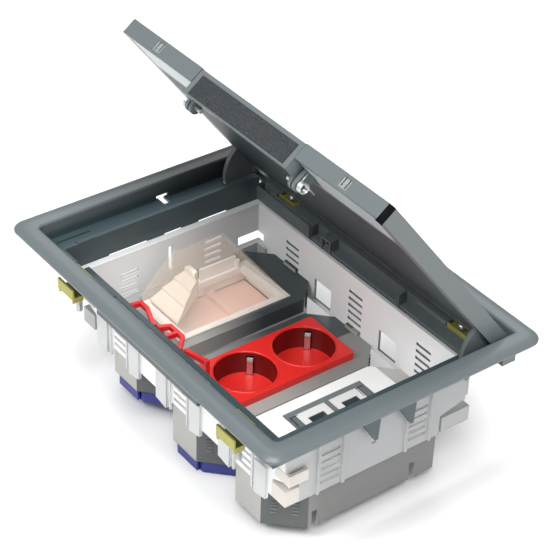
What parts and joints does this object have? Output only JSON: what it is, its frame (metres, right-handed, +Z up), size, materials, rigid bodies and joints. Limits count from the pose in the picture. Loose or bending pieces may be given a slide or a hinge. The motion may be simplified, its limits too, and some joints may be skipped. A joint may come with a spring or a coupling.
{
  "type": "floor socket box",
  "caption": "Floor socket box with a hinged lid, drop-in trays with sockets and data jacks, a sprung cord outlet and screw clamps.",
  "frame": {"origin": "middle of the floor cut-out, on the finished floor under the flange", "axes": "+Z up out of the floor, +X along the lid's hinge, +Y from the cord outlet to the hinge"},
  "size_m": [0.273, 0.196, 0.2397],
  "materials": {
    "frame_plastic": "satin",
    "light_plastic": "satin",
    "tray_plastic": "satin",
    "cream_plastic": "satin",
    "white_plastic": "satin",
    "gray_insert": "satin",
    "dark_label": "satin",
    "salmon_plastic": "satin",
    "red_plastic": "gloss",
    "blue_plastic": "satin",
    "clear_plastic": "gloss",
    "yellow_zinc": "satin",
    "zinc_steel": "satin",
    "brass_contact": "satin",
    "dark_sheet": "satin",
    "infill_panel": "matte",
    "black_foam": "matte"
  },
  "bodies": {
    "box": {"trim_frame": "frame_plastic", "hinge_pins": "zinc_steel", "clamp_plates": "yellow_zinc", "carrier_front": "light_plastic", "carrier_back": "light_plastic", "carrier_left": "light_plastic", "carrier_right": "light_plastic", "corner_blocks": "cream_plastic", "tray_left": "tray_plastic", "tray_middle": "tray_plastic", "tray_right": "tray_plastic", "wiring_base_left": "blue_plastic", "wiring_base_middle": "blue_plastic", "socket_plate": "red_plastic", "socket_base": "blue_plastic", "socket_shutters": "red_plastic", "earth_clips": "zinc_steel", "contact_sleeves": "brass_contact", "data_cover": "white_plastic", "data_insert": "gray_insert", "rj45_jacks": "white_plastic", "label_holders": "dark_label", "clear_hood": "clear_plastic", "terminal_frame": "cream_plastic", "cable_ramp": "cream_plastic", "service_floor": "salmon_plastic", "cord_retainers": "red_plastic"},
    "lid": {"lid_frame": "frame_plastic", "lid_plate": "dark_sheet", "lid_insert": "infill_panel", "front_bars": "zinc_steel", "hinge_arm_left": "frame_plastic", "hinge_arm_right": "frame_plastic", "lid_catches": "frame_plastic", "flap_pins": "zinc_steel", "flap_springs": "zinc_steel"},
    "outlet_flap": {"outlet_flap": "frame_plastic", "foam_pad": "black_foam"},
    "clamp_claw_front_left": {"clamp_claw_front_left": "yellow_zinc"},
    "clamp_screw_front_left": {"clamp_screw_front_left": "zinc_steel"},
    "clamp_claw_front_right": {"clamp_claw_front_right": "yellow_zinc"},
    "clamp_screw_front_right": {"clamp_screw_front_right": "zinc_steel"},
    "clamp_claw_back_left": {"clamp_claw_back_left": "yellow_zinc"},
    "clamp_screw_back_left": {"clamp_screw_back_left": "zinc_steel"},
    "clamp_claw_back_right": {"clamp_claw_back_right": "yellow_zinc"},
    "clamp_screw_back_right": {"clamp_screw_back_right": "zinc_steel"}
  },
  "joints": [
    {"name": "lid_hinge", "type": "hinge", "parent": "box", "child": "lid", "pos_m": [0, 0.0773, -0.0064], "axis": [-1, 0, 0], "range_deg": [-52.7, 36]},
    {"name": "outlet_flap_hinge", "type": "hinge", "parent": "lid", "child": "outlet_flap", "pos_m": [0, -0.01993, 0.10407], "axis": [-1, 0, 0], "range_deg": [0, 30], "stiffness_Nm_per_rad": 0.03, "springref_deg": -22.92},
    {"name": "claw_slide_front_left", "type": "slide", "parent": "box", "child": "clamp_claw_front_left", "axis": [0, 0, 1], "range_m": [-0.009, 0.003]},
    {"name": "screw_turn_front_left", "type": "hinge", "parent": "box", "child": "clamp_screw_front_left", "pos_m": [-0.084, -0.0806, -0.02], "axis": [0, 0, 1], "range_deg": [-4700, 1600]},
    {"name": "claw_slide_front_right", "type": "slide", "parent": "box", "child": "clamp_claw_front_right", "axis": [0, 0, 1], "range_m": [-0.009, 0.003]},
    {"name": "screw_turn_front_right", "type": "hinge", "parent": "box", "child": "clamp_screw_front_right", "pos_m": [0.084, -0.0806, -0.02], "axis": [0, 0, 1], "range_deg": [-4700, 1600]},
    {"name": "claw_slide_back_left", "type": "slide", "parent": "box", "child": "clamp_claw_back_left", "axis": [0, 0, 1], "range_m": [-0.009, 0]},
    {"name": "screw_turn_back_left", "type": "hinge", "parent": "box", "child": "clamp_screw_back_left", "pos_m": [-0.084, 0.0828, -0.02], "axis": [0, 0, 1], "range_deg": [-4700, 1600]},
    {"name": "claw_slide_back_right", "type": "slide", "parent": "box", "child": "clamp_claw_back_right", "axis": [0, 0, 1], "range_m": [-0.009, 0]},
    {"name": "screw_turn_back_right", "type": "hinge", "parent": "box", "child": "clamp_screw_back_right", "pos_m": [0.084, 0.0828, -0.02], "axis": [0, 0, 1], "range_deg": [-4700, 1600]}
  ],
  "couplings": [
    {"joint": "screw_turn_front_left", "follows": "claw_slide_front_left", "rad_per_m": 8976},
    {"joint": "screw_turn_front_right", "follows": "claw_slide_front_right", "rad_per_m": 8976},
    {"joint": "screw_turn_back_left", "follows": "claw_slide_back_left", "rad_per_m": 8976},
    {"joint": "screw_turn_back_right", "follows": "claw_slide_back_right", "rad_per_m": 8976}
  ]
}
